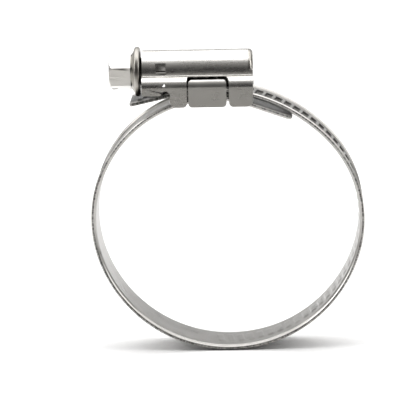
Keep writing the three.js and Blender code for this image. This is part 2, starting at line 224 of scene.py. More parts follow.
def scaled(tree, vector, scale):
    """Coordinates in metres, multiplied to give a pattern its size along each axis."""
    return node(tree, "ShaderNodeVectorMath", {0: vector, 1: scale}, operation="MULTIPLY").outputs["Vector"]


def arithmetic(tree, operation, first, second, clamp=False):
    return node(tree, "ShaderNodeMath", {0: first, 1: second}, operation=operation,
                use_clamp=clamp).outputs["Value"]


def noise(tree, vector, scale, detail=4.0, roughness=0.55):
    inputs = {"Vector": vector, "Scale": scale, "Detail": detail, "Roughness": roughness}
    return node(tree, "ShaderNodeTexNoise", inputs).outputs["Fac"]


def worn_steel(name, grain_size, colours, roughness, grain_height, coordinates, painted_shade_reach, band=False):
    """Bright sheet or strip steel. The grain is the fine lines that the rolling mill leaves along the sheet;
    the haze is the thin uneven film of oil and handling marks; edges are painted brighter, partly as rubbed wear
    and partly as a painted highlight, and corners and gaps get painted shade."""
    made = bpy.data.materials.new(name)
    made.use_nodes = True
    tree = made.node_tree
    tree.nodes.clear()
    place = coordinates(tree)
    across_grain = [repeats(size) for size in grain_size]
    grain = noise(tree, scaled(tree, place, across_grain), 1.0, 5.0, 0.6)
    broad_grain = noise(tree, scaled(tree, place, [v * 0.22 for v in across_grain]), 1.0, 3.0, 0.5)
    haze = noise(tree, place, repeats(HAZE_SIZE), 3.0, 0.5)
    specks = noise(tree, place, repeats(SPECK_SIZE), 2.0, 0.6)
    mixed = arithmetic(tree, "ADD", arithmetic(tree, "MULTIPLY", grain, 0.45),
                       arithmetic(tree, "MULTIPLY", haze, 0.55))
    colour = ramp(tree, mixed, [(0.3, colours[0]), (0.52, colours[1]), (0.75, colours[2])])
    # Edges painted brighter: partly rubbed wear, partly a painted highlight; on the band, along its rolled edges.
    if band:
        spot = node(tree, "ShaderNodeSeparateXYZ", {0: place})
        across = arithmetic(tree, "ABSOLUTE", spot.outputs["Y"], 0.0)
        edge = node(tree, "ShaderNodeMapRange", {"Value": across, "From Min": 0.0052, "From Max": 0.0057,
                                                 "To Max": 0.45})
    else:
        sharpness = node(tree, "ShaderNodeNewGeometry").outputs["Pointiness"]
        edge = node(tree, "ShaderNodeMapRange", {"Value": sharpness, "From Min": 0.53, "From Max": 0.62})
    rubbed_and_highlit_edges = node(tree, "ShaderNodeMix", {0: edge.outputs["Result"], 6: colour, 7: linear("DEDCD8")},
                data_type="RGBA")
    # Small dark specks of dust and oil that sit on the surface.
    dust = node(tree, "ShaderNodeMapRange", {"Value": specks, "From Min": 0.70, "From Max": 0.78,
                                             "To Min": 1.0, "To Max": 0.9}).outputs["Result"]
    dusty = node(tree, "ShaderNodeVectorMath", {0: rubbed_and_highlit_edges.outputs[2], "Scale": dust}, operation="SCALE")
    if band:
        # Real dull torn cut edge, times painted shade round the thread marks and grease with painted shadow on the
        # tail and tongue.
        torn_edges_mark_shade_and_grease = arithmetic(tree, "MULTIPLY", sheared_edge(tree, specks), mark_shade_and_grease(tree))
        dusty = node(tree, "ShaderNodeVectorMath", {0: dusty.outputs["Vector"], "Scale": torn_edges_mark_shade_and_grease},
                     operation="SCALE")
    # Painted shade: ambient occlusion darkens the colour in corners, creases and between the sheets, where shade
    # falls.
    occlusion_for_painted_shade = node(tree, "ShaderNodeAmbientOcclusion", {"Distance": painted_shade_reach * MM}, samples=6)
    painted_crevice_shade = node(tree, "ShaderNodeMapRange", {"Value": occlusion_for_painted_shade.outputs["AO"], "From Min": 0.2, "From Max": 0.7,
                                              "To Min": 0.1, "To Max": 1.0})
    crevice_shaded = node(tree, "ShaderNodeVectorMath", {0: dusty.outputs["Vector"], "Scale": painted_crevice_shade.outputs["Result"]},
                 operation="SCALE")
    rough = node(tree, "ShaderNodeMapRange", {"Value": mixed, "From Min": 0.3, "From Max": 0.7,
                                              "To Min": roughness - 0.06, "To Max": roughness + 0.08})
    height = arithmetic(tree, "ADD", arithmetic(tree, "MULTIPLY", grain, 0.6),
                        arithmetic(tree, "MULTIPLY", broad_grain, 0.4))
    bump = node(tree, "ShaderNodeBump", {"Height": height, "Distance": grain_height, "Strength": 0.6})
    wavy = node(tree, "ShaderNodeBump", {"Height": haze, "Distance": 0.00004, "Strength": 0.5,
                                         "Normal": bump.outputs["Normal"]})
    shader = node(tree, "ShaderNodeBsdfPrincipled", {
        "Base Color": crevice_shaded.outputs["Vector"], "Metallic": 1.0, "Roughness": rough.outputs["Result"],
        "Normal": wavy.outputs["Normal"]})
    out = node(tree, "ShaderNodeOutputMaterial", {"Surface": shader.outputs["BSDF"]})
    out.is_active_output = True
    return made


def object_place(tree):
    return node(tree, "ShaderNodeTexCoord").outputs["Object"]


def strip_place(tree):
    """Along and across the band, in metres, from the strip's own flat layout."""
    return node(tree, "ShaderNodeUVMap", uv_map="strip").outputs["UV"]


def sheared_edge(tree, specks):
    """Darkens the cut edge of the strip, which is torn and dull where the slitting rolls parted it."""
    spot = node(tree, "ShaderNodeSeparateXYZ", {0: strip_place(tree)})
    across = arithmetic(tree, "ABSOLUTE", spot.outputs["Y"], 0.0)
    at_edge = node(tree, "ShaderNodeMapRange", {"Value": across, "From Min": 0.00582, "From Max": 0.00592})
    torn = node(tree, "ShaderNodeMapRange", {"Value": specks, "From Min": 0.35, "From Max": 0.65,
                                             "To Min": 0.22, "To Max": 0.85})
    return node(tree, "ShaderNodeMix", {0: at_edge.outputs["Result"], 2: 1.0, 3: torn.outputs["Result"]},
                data_type="FLOAT").outputs[0]


def mark_shade_and_grease(tree):
    """Paints a dark line of painted shade round each thread mark, where its steep pressed wall would be in shade,
    and darkens the tail and tongue with grease and painted shadow.
    """
    spot = node(tree, "ShaderNodeSeparateXYZ", {0: node(tree, "ShaderNodeUVMap", uv_map="marks").outputs["UV"]})
    leaning = arithmetic(tree, "MULTIPLY", spot.outputs["Y"], LEAD)
    along = arithmetic(tree, "ADD", spot.outputs["X"], leaning)
    pitches = arithmetic(tree, "DIVIDE", arithmetic(tree, "SUBTRACT", along, CROWN * MM), PITCH * MM)
    whole = arithmetic(tree, "ROUND", pitches, 0.0)
    off = arithmetic(tree, "ABSOLUTE", arithmetic(tree, "SUBTRACT", pitches, whole), 0.0)
    past_end = arithmetic(tree, "SUBTRACT", arithmetic(tree, "MULTIPLY", off, PITCH * MM), POCKET_LENGTH / 2 * MM)
    across = arithmetic(tree, "ABSOLUTE", spot.outputs["Y"], 0.0)
    past_side = arithmetic(tree, "SUBTRACT", across, POCKET_WIDTH / 2 * MM)
    past = arithmetic(tree, "MAXIMUM", past_end, past_side)
    from_wall = arithmetic(tree, "ABSOLUTE", arithmetic(tree, "ADD", past, POCKET_WALL / 2 * MM), 0.0)
    # Painted shade: a dark line along each mark's wall, standing in for the shade and dark reflection there.
    line = node(tree, "ShaderNodeMapRange", {"Value": from_wall, "From Min": 0.00008, "From Max": 0.0002,
                                             "To Min": 0.22, "To Max": 1.0})
    middle = (POCKETS_ON_TAIL - POCKETS_ON_LOOP) / 2
    reach = (POCKETS_ON_TAIL + POCKETS_ON_LOOP + 1) / 2
    in_row = arithmetic(tree, "COMPARE", whole, middle)
    in_row.node.inputs[2].default_value = reach
    shade_outlined = node(tree, "ShaderNodeMix", {0: in_row, 2: 1.0, 3: line.outputs["Result"]}, data_type="FLOAT")
    # Darkens the threaded face of the tail and the tongue under the housing: partly grease that the worm leaves,
    # partly painted shadow from the housing above them.
    greased_and_shaded_tail = node(tree, "ShaderNodeMapRange", {
        "Value": spot.outputs["X"], "From Min": (CROWN - 9.5) * MM, "From Max": (CROWN - 8.0) * MM,
        "To Min": 1.0, "To Max": 0.2}).outputs["Result"]
    greased_and_shaded_tongue = node(tree, "ShaderNodeMapRange", {
        "Value": spot.outputs["X"], "From Min": 0.003, "From Max": 0.004,
        "To Min": 0.16, "To Max": 1.0}).outputs["Result"]
    on_face = arithmetic(tree, "LESS_THAN", across, 0.004)
    greased_and_shaded = arithmetic(tree, "MULTIPLY", greased_and_shaded_tail, greased_and_shaded_tongue)
    grease_and_shadow = node(tree, "ShaderNodeMix", {0: on_face, 2: 1.0, 3: greased_and_shaded}, data_type="FLOAT")
    return arithmetic(tree, "MULTIPLY", shade_outlined.outputs[0], grease_and_shadow.outputs[0])


def floor_paper():
    """Plain white studio paper, faintly fibrous."""
    made = bpy.data.materials.new("white_paper")
    made.use_nodes = True
    tree = made.node_tree
    tree.nodes.clear()
    fibres = noise(tree, object_place(tree), repeats(FIBRE_SIZE), 3.0)
    colour = ramp(tree, fibres, [(0.3, "FBFBFB"), (0.7, "FFFFFF")])
    shader = node(tree, "ShaderNodeBsdfPrincipled", {"Base Color": colour, "Roughness": 0.9})
    shader.inputs["Specular IOR Level"].default_value = 0.1
    node(tree, "ShaderNodeOutputMaterial", {"Surface": shader.outputs["BSDF"]})
    return made


# ---------------------------------------------------------------- mesh helpers

def make_object(name, points, faces, material, replaces=()):
    mesh = bpy.data.meshes.new(name)
    mesh.from_pydata([Vector(p) * MM for p in points], [], faces)
    mesh.validate()
    mesh.shade_smooth()
    made = bpy.data.objects.new(name, mesh)
    bpy.context.scene.collection.objects.link(made)
    mesh.materials.append(material)
    for cad in replaces:
        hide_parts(cad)
    return made


def solid(points, faces):
    """A bare solid used for cutting and joining."""
    mesh = bpy.data.meshes.new("shaper")
    mesh.from_pydata([Vector(p) * MM for p in points], [], faces)
    made = bpy.data.objects.new("shaper", mesh)
    bpy.context.scene.collection.objects.link(made)
    return made


def extruded(outline, low, high, axis):
    """A closed outline made into a prism along X (outline in Y, Z) or along Y (outline in X, Z)."""
    def point(pair, along):
        return (along, pair[0], pair[1]) if axis == "x" else (pair[0], along, pair[1])
    count = len(outline)
    points = [point(p, low) for p in outline] + [point(p, high) for p in outline]
    sides = [(i, (i + 1) % count, count + (i + 1) % count, count + i) for i in range(count)]
    faces = sides + [tuple(range(count - 1, -1, -1)), tuple(range(count, 2 * count))]
    made = solid(points, faces)
    fix_normals(made)
    return made


def turned(outline, segments=96, sweep=360.0, start=0.0, axis_z=SCREW_Z):
    """An outline of (x, radius) spun round the screw's axis."""
    full = sweep >= 360.0
    steps = segments if full else segments + 1
    points, faces = [], []
    for i in range(steps):
        angle = math.radians(start + sweep * i / segments)
        for x, radius in outline:
            points.append((x, radius * math.cos(angle), axis_z + radius * math.sin(angle)))
    count = len(outline)
    for i in range(segments):
        j = (i + 1) % steps if full else i + 1
        for k in range(count):
            m = (k + 1) % count
            faces.append((i * count + k, i * count + m, j * count + m, j * count + k))
    if not full:
        faces += [tuple(range(count)), tuple(range((steps - 1) * count, steps * count))[::-1]]
    made = solid(points, faces)
    merge_near(made)
    fix_normals(made)
    return made


def edit(obj, action):
    work = bmesh.new()
    work.from_mesh(obj.data)
    action(work)
    work.to_mesh(obj.data)
    work.free()


def fix_normals(obj):
    edit(obj, lambda work: bmesh.ops.recalc_face_normals(work, faces=work.faces))


def merge_near(obj):
    edit(obj, lambda work: bmesh.ops.remove_doubles(work, verts=work.verts, dist=1e-7))


def apply_modifiers(obj):
    depsgraph = bpy.context.evaluated_depsgraph_get()
    depsgraph.update()
    final = bpy.data.meshes.new_from_object(obj.evaluated_get(depsgraph))
    obj.modifiers.clear()
    old = obj.data
    obj.data = final
    bpy.data.meshes.remove(old)


def combine(obj, other, operation):
    cut = obj.modifiers.new("cut", "BOOLEAN")
    cut.object = other
    cut.operation = operation
    cut.solver = "EXACT"
    apply_modifiers(obj)
    bpy.data.objects.remove(other)


def finish_edges(obj, name, material, width, replaces=(), angle=38.0):
    """Rounds a solid's sharp edges and gives it its name, material and smooth shading."""
    edit(obj, lambda work: bmesh.ops.triangulate(work, faces=[f for f in work.faces if len(f.verts) > 4]))
    rounding = obj.modifiers.new("edges", "BEVEL")
    rounding.width = width * MM
    rounding.segments = 3
    rounding.limit_method = "ANGLE"
    rounding.angle_limit = math.radians(angle)
    rounding.use_clamp_overlap = True
    even = obj.modifiers.new("even", "WEIGHTED_NORMAL")
    even.weight = 60
    obj.data.shade_smooth()
    apply_modifiers(obj)
    obj.name = name
    obj.data.name = name
    obj.data.materials.clear()
    obj.data.materials.append(material)
    for cad in replaces:
        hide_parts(cad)
    return obj


def shade_by_shape(obj, bends, flat_area=1000.0):
    """Gives the faces of known bends (centre y, centre z, radius) and of flats the normals of the true shape."""
    mesh = obj.data
    normals = [Vector(corner.vector) for corner in mesh.corner_normals]
    for face in mesh.polygons:
        flat = max(abs(part) for part in face.normal) > 0.99999 or face.area > flat_area * MM * MM
        for index in face.loop_indices:
            if flat:
                normals[index] = face.normal.copy()
                continue
            spot = mesh.vertices[mesh.loops[index].vertex_index].co / MM
            for centre_y, centre_z, radius in bends:
                out = Vector((0.0, spot.y - centre_y, spot.z - centre_z))
                if abs(out.length - radius) < 0.03 and abs(out.normalized().dot(face.normal)) > 0.99:
                    normals[index] = out.normalized() * math.copysign(1.0, out.dot(face.normal))
    mesh.normals_split_custom_set(normals)


def arc(centre, radius, start, end, steps):
    return [(centre[0] + radius * math.cos(math.radians(start + (end - start) * i / steps)),
             centre[1] + radius * math.sin(math.radians(start + (end - start) * i / steps)))
            for i in range(steps + 1)]


def rounded(corners, steps=6):
    """A polygon of (x, y, radius) corners with each corner rounded."""
    points = []
    count = len(corners)
    for i, (x, y, radius) in enumerate(corners):
        if radius <= 0:
            points.append((x, y))
            continue
        here = Vector((x, y))
        before = (Vector(corners[i - 1][:2]) - here).normalized()
        after = (Vector(corners[(i + 1) % count][:2]) - here).normalized()
        half = before.angle(after) / 2
        centre = here + (before + after).normalized() * radius / math.sin(half)
        start = here + before * radius / math.tan(half) - centre
        end = here + after * radius / math.tan(half) - centre
        sweep = start.angle_signed(end)
        for k in range(steps + 1):
            turn = -sweep * k / steps
            spot = centre + Vector((start.x * math.cos(turn) - start.y * math.sin(turn),
                                    start.x * math.sin(turn) + start.y * math.cos(turn)))
            points.append((spot.x, spot.y))
    return points


# ---------------------------------------------------------------- the band's path

def unit(angle):
    return Vector((math.cos(math.radians(angle)), math.sin(math.radians(angle))))


def angle_of(vector):
    return math.degrees(math.atan2(vector.y, vector.x))


def angle_from(angle, lowest):
    return angle + 360 * math.ceil((lowest - angle) / 360)


def band_path():
    """Arcs of (centre, radius, from, to) from the tongue over the crown, round the loop and up to the tail."""
    heights = LOOP_RADIUS ** 2 - FIXED_CROWN_X ** 2 - FIXED_CROWN_Z ** 2
    fixed_radius = heights / (2 * SEAT_FLATTENING)
    fixed_centre = Vector((FIXED_CROWN_X, FIXED_CROWN_Z - fixed_radius))
    fixed_start = math.degrees(math.acos(TONGUE_BEND_START / fixed_radius))
    fixed_end = angle_from(angle_of(fixed_centre), fixed_start)
    bend_centre = fixed_centre + unit(fixed_start) * (fixed_radius - TONGUE_BEND_RADIUS)
    inset = LOOP_RADIUS - SEAT_RADIUS
    shift = (inset ** 2 - SEAT_CENTRE.length_squared) / (2 * (SEAT_CENTRE.dot(unit(SEAT_END_ANGLE)) - inset))
    flank_centre = SEAT_CENTRE + unit(SEAT_END_ANGLE) * shift
    flank_start = angle_from(angle_of(flank_centre), fixed_end)
    return [
        (bend_centre, TONGUE_BEND_RADIUS, 90 - TONGUE_SLOPE, fixed_start),
        (fixed_centre, fixed_radius, fixed_start, fixed_end),
        (Vector((0, 0)), LOOP_RADIUS, fixed_end, flank_start),
        (flank_centre, SEAT_RADIUS - shift, flank_start, SEAT_END_ANGLE + 360),
        (SEAT_CENTRE, SEAT_RADIUS, SEAT_END_ANGLE + 360, 450 + TAIL_ANGLE),
    ]


PATH = band_path()


def arc_length(piece):
    return math.radians(piece[3] - piece[2]) * piece[1]


def path_at(distance):
    """The middle of the band at a distance along it: point, outward direction and heading, in X and Z."""
    left = distance
    for piece in PATH:
        if left <= arc_length(piece) or piece is PATH[-1]:
            break
        left -= arc_length(piece)
    centre, radius, start, _ = piece
    on_arc = min(max(left, 0.0), arc_length(piece))
    outward = unit(start + math.degrees(on_arc / radius))
    heading = Vector((-outward.y, outward.x))
    return centre + outward * radius + heading * (left - on_arc), outward, heading


ARCS_LENGTH = sum(arc_length(piece) for piece in PATH)
CROWN = ARCS_LENGTH - math.radians(TAIL_ANGLE) * SEAT_RADIUS
TAIL_SLOPE = math.radians(TAIL_ANGLE)
TAIL_LENGTH = TAIL_REACH / math.cos(TAIL_SLOPE) - SEAT_RADIUS * math.tan(TAIL_SLOPE)
BAND_END = ARCS_LENGTH + TAIL_LENGTH
BAND_START = -TONGUE_LENGTH


def hinge_distance(index):
    return CROWN - (PITCHES_TO_FIRST_HINGE + 0.5 + (LINK_COUNT - index) * PITCHES_PER_LINK) * PITCH


# ---------------------------------------------------------------- the band

def step_between(low, high, value):
    t = min(max((value - low) / (high - low), 0.0), 1.0)
    return t * t * (3 - 2 * t)


def band_profile(flare_angle):
    """Cross-section points of (across, out from the middle, face), going once round the strip."""
    skin = BAND_THICKNESS / 2
    line = []
    for i in range(7):
        angle = math.radians(flare_angle * i / 6)
        bent = FLARE_RADIUS * FLARE_ANGLE / flare_angle
        line.append((FLARE_START + bent * math.sin(angle), bent * (1 - math.cos(angle)), angle))
    tip = math.radians(flare_angle)
    across, out, _ = line[-1]
    line.append((across + FLARE_STRAIGHT * math.cos(tip), out + FLARE_STRAIGHT * math.sin(tip), tip))
    inner_edge = [(y + skin * math.sin(a), h - skin * math.cos(a), "edge") for y, h, a in line]
    outer_edge = [(y - skin * math.sin(a), h + skin * math.cos(a), "edge") for y, h, a in line]
    nose = []
    end_y, end_h, _ = line[-1]
    for i in range(1, 6):
        angle = tip - math.pi / 2 + math.pi * i / 6
        squash = 0.42
        along = math.cos(angle - tip) * skin * squash
        side = math.sin(angle - tip) * skin
        nose.append((end_y + along * math.cos(tip) - side * math.sin(tip),
                     end_h + along * math.sin(tip) + side * math.cos(tip), "edge"))
    right = inner_edge + nose + outer_edge[::-1]
    pocket_rows = [3.9, 3.3, 3.0, 2.88, 2.8, 2.72, 2.62, 2.52, 2.3, 1.9, 1.2, 0.6]
    outer_flat = [(y, skin, "outer") for y in pocket_rows + [0.0] + [-v for v in pocket_rows[::-1]]]
    inner_rows = [4.2, 3.2, 2.8, 2.4, 1.6, 0.8]
    inner_flat = [(-y, -skin, "inner") for y in inner_rows] + [(0.0, -skin, "inner")]
    inner_flat += [(y, -skin, "inner") for y in inner_rows[::-1]]
    left = [(-y, h, f) for y, h, f in right[::-1]]
    return inner_flat + right + outer_flat + left


PROFILE = band_profile(FLARE_ANGLE)
FLAT_PROFILE = band_profile(6.0)


def pocket_distance(along, across):
    """Signed distance from a pocket's rounded-rectangle outline, negative inside it."""
    dx = abs(along) - POCKET_LENGTH / 2 + POCKET_CORNER
    dy = abs(across) - POCKET_WIDTH / 2 + POCKET_CORNER
    outside = math.hypot(max(dx, 0.0), max(dy, 0.0))
    return outside + min(max(dx, dy), 0.0) - POCKET_CORNER


def lean(distance, across):
    """How far a thread mark's row is pushed along the band by the thread's lead angle."""
    pitches = (distance - CROWN) / PITCH
    near = step_between(-POCKETS_ON_LOOP - 1.6, -POCKETS_ON_LOOP - 0.6, pitches)
    near *= 1 - step_between(POCKETS_ON_TAIL + 0.6, POCKETS_ON_TAIL + 1.6, pitches)
    return -across * LEAD * near * (1 - step_between(3.0, 4.4, abs(across)))


def band_ring(distance, width_scale=1.0, thickness_scale=1.0):
    ring, layout = [], []
    flattened = step_between(2.0, 9.0, distance - CROWN)
    for (across, out, face), (flat_across, flat_out, _) in zip(PROFILE, FLAT_PROFILE):
        width_limit = BAND_WIDTH / 2 / max(BAND_WIDTH / 2, abs(flat_across))
        across += (flat_across * width_limit - across) * flattened
        out += (flat_out - out) * flattened
        here = distance + (lean(distance, across) if face != "edge" else 0.0)
        if face != "edge":
            straightened = here + across * LEAD - CROWN
            number = round(straightened / PITCH)
            if -POCKETS_ON_LOOP <= number <= POCKETS_ON_TAIL:
                gap = pocket_distance(straightened - number * PITCH, across)
                if face == "outer":
                    out -= POCKET_DEPTH * step_between(0.0, POCKET_WALL, -gap)
                    out += 0.03 * math.exp(-(max(gap, 0.0) / 0.12) ** 2) if gap > 0 else 0.0
                else:
                    out -= 0.14 * step_between(-0.1, 0.4, -gap)
        point, outward, _ = path_at(here)
        spot = point + outward * (out * thickness_scale)
        ring.append((spot.x, across * width_scale, spot.y))
        layout.append(((here * MM, across * MM), (here * MM, across * MM) if face == "outer" else (1.0, 1.0)))
    return ring, layout


def stations(start, end):
    """Distances of the rings that a stretch of band is built from, close together round each thread mark."""
    marks = [0.0, 0.3, 0.46, 0.56, 0.66, 0.74, 0.8, 0.88, 1.0]
    found = []
    first, last = CROWN - (POCKETS_ON_LOOP + 0.5) * PITCH, CROWN + (POCKETS_ON_TAIL + 0.5) * PITCH
    for number in range(-POCKETS_ON_LOOP, POCKETS_ON_TAIL + 1):
        middle = CROWN + number * PITCH
        found += [middle + side * mark for mark in marks for side in ((1, -1) if mark else (1,))]
        found.append(middle + PITCH / 2)
    plain = int(math.ceil((end - start) / 0.8))
    evenly = [start + (end - start) * i / plain for i in range(plain + 1)]
    found += [v for v in evenly if v < first or v > last]
    near = 0.03
    inside = sorted(v for v in found if start + 3 * near < v < end - 3 * near)
    return [start, start + near] + inside + [end - near, end]


def band_stretch(name, start, end, material, replaces):
    rings, layouts = [], []
    tongue_corner, tail_corner = 1.6, 0.9
    places = stations(start, end)
    tips = [0.0, 0.05, 0.14, 0.3, 0.55, 0.9, 1.3]
    if start == BAND_START:
        places = [start + t for t in tips] + [v for v in places if v > start + tips[-1] + 0.1]
    if end == BAND_END:
        places = [v for v in places if v < end - tips[-1] - 0.1] + [end - t for t in tips[::-1]]
    for distance in places:
        from_tip, corner = 99.0, 1.0
        if start == BAND_START and distance - start < tongue_corner:
            from_tip, corner = distance - start, tongue_corner
        if end == BAND_END and end - distance < tail_corner:
            from_tip, corner = end - distance, tail_corner
        width_scale = thickness_scale = 1.0
        if from_tip < corner:
            cut = corner - math.sqrt(corner ** 2 - (corner - from_tip) ** 2)
            width_scale = 1 - cut / (BAND_WIDTH / 2)
            thickness_scale = 0.7 + 0.3 * min(1.0, math.sqrt(from_tip / 0.14))
        ring, layout = band_ring(distance, width_scale, thickness_scale)
        rings.append(ring)
        layouts.append(layout)
    count = len(PROFILE)
    faces = []
    for i in range(len(rings) - 1):
        for k in range(count):
            m = (k + 1) % count
            faces.append((i * count + k, (i + 1) * count + k, (i + 1) * count + m, i * count + m))
    if start == BAND_START:
        faces.append(tuple(range(count)))
    if end == BAND_END:
        faces.append(tuple(range((len(rings) - 1) * count, len(rings) * count))[::-1])
    made = make_object(name, [p for ring in rings for p in ring], faces, material, replaces)
    flat = [p for layout in layouts for p in layout]
    for name, which in (("strip", 0), ("marks", 1)):
        layer = made.data.uv_layers.new(name=name)
        for loop in made.data.loops:
            layer.data[loop.index].uv = flat[loop.vertex_index][which]
    return made


def row_point(distance):
    point, _, _ = path_at(distance)
    return (point.x * MM, 0.0, point.y * MM)


def make_band(material):
    """The strip in stretches that each cross one hinge and meet in the middle of a link."""
    bodies = ["housing_body"] + [f"band_link_{i:02d}" for i in range(1, LINK_COUNT + 1)] + ["band_threaded_end"]
    nodes = ["band_fixed_end"] + bodies[1:]
    start = BAND_START
    for index in range(LINK_COUNT + 1):
        hinge = hinge_distance(index)
        end = hinge + PITCHES_PER_LINK * PITCH / 2 if index < LINK_COUNT else BAND_END
        names = [nodes[index]] if index < LINK_COUNT else [nodes[index], nodes[index + 1]]
        stretch = band_stretch(f"band_stretch_{index}", start, end, material, names)
        row_point(hinge - BLEND_REACH)
        row_point(hinge + BLEND_REACH)
        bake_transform(stretch)
        start = end


# ---------------------------------------------------------------- the housing

def housing_section():
    """The pressed sheet seen along the screw: a tube, a shoulder on each side of it and a skirt below each."""
    shoulder = (SKIRT_OUTER - SHOULDER_RADIUS, LEDGE_Z - SHOULDER_RADIUS)
    low = FOOT_LOW - 0.2
    crease = -math.degrees(math.asin(0.22 / TUBE_RADIUS))
    right = [(SKIRT_OUTER, low)] + arc(shoulder, SHOULDER_RADIUS, 0, 83, 14)
    tube_foot = (TUBE_RADIUS * math.cos(math.radians(crease)), SCREW_Z - 0.22)
    edge = right[-1]
    corner = (TUBE_RADIUS, LEDGE_Z)
    for i in range(1, 5):
        t = i / 5
        right.append(tuple(edge[k] * (1 - t) ** 2 + 2 * corner[k] * t * (1 - t) + tube_foot[k] * t * t
                           for k in (0, 1)))
    outer = right + arc((0, SCREW_Z), TUBE_RADIUS, crease, 90, 26)
    inner_radius = TUBE_RADIUS - SHEET
    inner_meet = math.degrees(math.asin((LEDGE_Z - SHEET - SCREW_Z) / inner_radius))
    inner = [(SKIRT_INNER, low)] + arc(shoulder, SHOULDER_RADIUS - SHEET, 0, 90, 8)
    inner += arc((0, SCREW_Z), inner_radius, inner_meet, 90, 18)
    outer_all = outer + [(-y, z) for y, z in outer[-2::-1]]
    inner_all = inner + [(-y, z) for y, z in inner[-2::-1]]
    return outer_all + inner_all[::-1]


def make_housing(material):
    body = extruded(housing_section(), HOUSING_LEFT, HOUSING_RIGHT, "x")
    top = SCREW_Z + TUBE_RADIUS + 1
    blank = rounded([
        (HOUSING_LEFT - 0.2, top, 0), (HOUSING_LEFT - 0.2, SKIRT_LOW, 0), (HOUSING_LEFT, SKIRT_LOW, 0.5),
        (RELIEF_X, SKIRT_LOW, 0), (-11.15, FOOT_LOW, 0.9), (-8.15, FOOT_LOW, 0.9),
        (-8.15, NOTCH_TOP, 0.35), (0.85, NOTCH_TOP, 0.75), (0.85, FOOT_LOW, 0.9),
        (HOUSING_RIGHT, FOOT_LOW, 1.3), (HOUSING_RIGHT, top, 0)][2:] + [(HOUSING_LEFT, top, 0)], 8)
    combine(body, extruded(blank, -9, 9, "y"), "INTERSECT")
    # Closed end, a wall inside the tube with a hole for the screw's pin.
    ring = [(HOUSING_RIGHT - SHEET, PIN_RADIUS + 0.25), (HOUSING_RIGHT, PIN_RADIUS + 0.25),
            (HOUSING_RIGHT, TUBE_RADIUS - 0.3), (HOUSING_RIGHT - SHEET, TUBE_RADIUS - 0.3)]
    wall = turned(ring, 72)
    combine(wall, extruded([(-6, 28.55), (6, 28.55), (6, 40), (-6, 40)], 0, 9, "x"), "INTERSECT")
    combine(body, wall, "UNION")
    # The tube's closed end is curled over.
    curl = 1.05
    corner = [(HOUSING_RIGHT - curl, TUBE_RADIUS + 1.5)]
    corner += arc((HOUSING_RIGHT - curl, TUBE_RADIUS - curl), curl + 0.004, 90, 0, 8)
    corner += [(HOUSING_RIGHT + 0.5, TUBE_RADIUS - curl), (HOUSING_RIGHT + 0.5, TUBE_RADIUS + 1.5)]
    combine(body, turned(corner, 72, 164.0, 8.0), "DIFFERENCE")
    # Arched relief, slit and pinhole.
    relief = arc((RELIEF_X, SKIRT_LOW), RELIEF_RADIUS, 0, 180, 14)
    relief += [(RELIEF_X - RELIEF_RADIUS, SKIRT_LOW - 1.5), (RELIEF_X + RELIEF_RADIUS, SKIRT_LOW - 1.5)]
    slit = [(SLIT_LEFT, SLIT_LOW), (SLIT_RIGHT, SLIT_LOW), (SLIT_RIGHT, SLIT_HIGH), (SLIT_LEFT, SLIT_HIGH)]
    pinhole = arc((-13.1, SCREW_Z - 2.1), 0.35, 0, 345, 23)
    # Tongue of sheet pressed in above the slit, and the lip below it.
    for sign in (1, -1):
        dent = [(6.0, 30.95), (4.6, 30.95), (4.22, 31.5), (4.22, 31.9), (3.95, 33.4), (6.0, 33.4)]
        side = [(y * sign, z) for y, z in dent]
        combine(body, extruded(side, SLIT_LEFT - 0.1, SLIT_RIGHT + 0.1, "x"), "DIFFERENCE")
    for outline, back in ((relief, 9), (slit, 9), (pinhole, 0)):
        combine(body, extruded(outline, -9, back, "y"), "DIFFERENCE")
    finish_edges(body, "housing_sheet", material, 0.1, ["housing"])
    shoulder_y, shoulder_z = SKIRT_OUTER - SHOULDER_RADIUS, LEDGE_Z - SHOULDER_RADIUS
    shade_by_shape(body, [(0.0, SCREW_Z, TUBE_RADIUS), (0.0, SCREW_Z, TUBE_RADIUS - SHEET)]
                   + [(sign * shoulder_y, shoulder_z, radius) for sign in (1, -1)
                      for radius in (SHOULDER_RADIUS, SHOULDER_RADIUS - SHEET)])
    return body


# ---------------------------------------------------------------- the saddle

